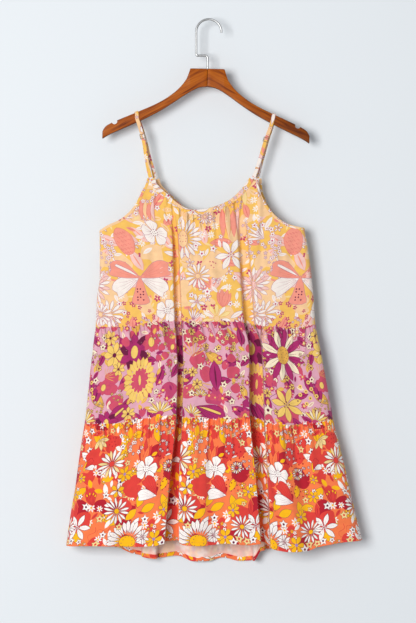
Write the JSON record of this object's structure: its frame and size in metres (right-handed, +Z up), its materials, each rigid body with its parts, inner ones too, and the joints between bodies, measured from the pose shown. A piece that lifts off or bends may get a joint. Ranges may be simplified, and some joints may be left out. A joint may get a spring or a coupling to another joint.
{
  "type": "sundress on a hanger",
  "caption": "Sleeveless cami sundress in tiers of gathered cloth, hanging by its thin straps from a wooden hanger with a wire hook.",
  "frame": {"origin": "inside top of the hanger's hook, where a rail carries it", "axes": "+Z up, +X to the right seen from the front, +Y towards the back of the dress"},
  "size_m": [0.5955, 0.0871, 1.0964],
  "materials": {
    "steel_wire": "polished nickel-plated wire",
    "hanger_wood": "stained and lacquered, satin",
    "slider_plastic": "smoky moulded plastic",
    "bodice_cloth": "plain-weave print, matt",
    "middle_cloth": "plain-weave print, matt",
    "bottom_cloth": "plain-weave print, matt"
  },
  "bodies": {
    "root": {"hook": "steel_wire", "hanger_left": "hanger_wood", "hanger_right": "hanger_wood", "strap_left": "bodice_cloth", "strap_right": "bodice_cloth", "slider_left": "slider_plastic", "slider_right": "slider_plastic", "neck_casing_front": "bodice_cloth", "neck_casing_back": "bodice_cloth", "armhole_binding_left": "bodice_cloth", "armhole_binding_right": "bodice_cloth", "bodice_front": "bodice_cloth", "bodice_back": "bodice_cloth", "middle_tier_front": "middle_cloth", "middle_tier_back": "middle_cloth", "bottom_tier_front": "bottom_cloth", "bottom_tier_back": "bottom_cloth"}
  },
  "joints": []
}
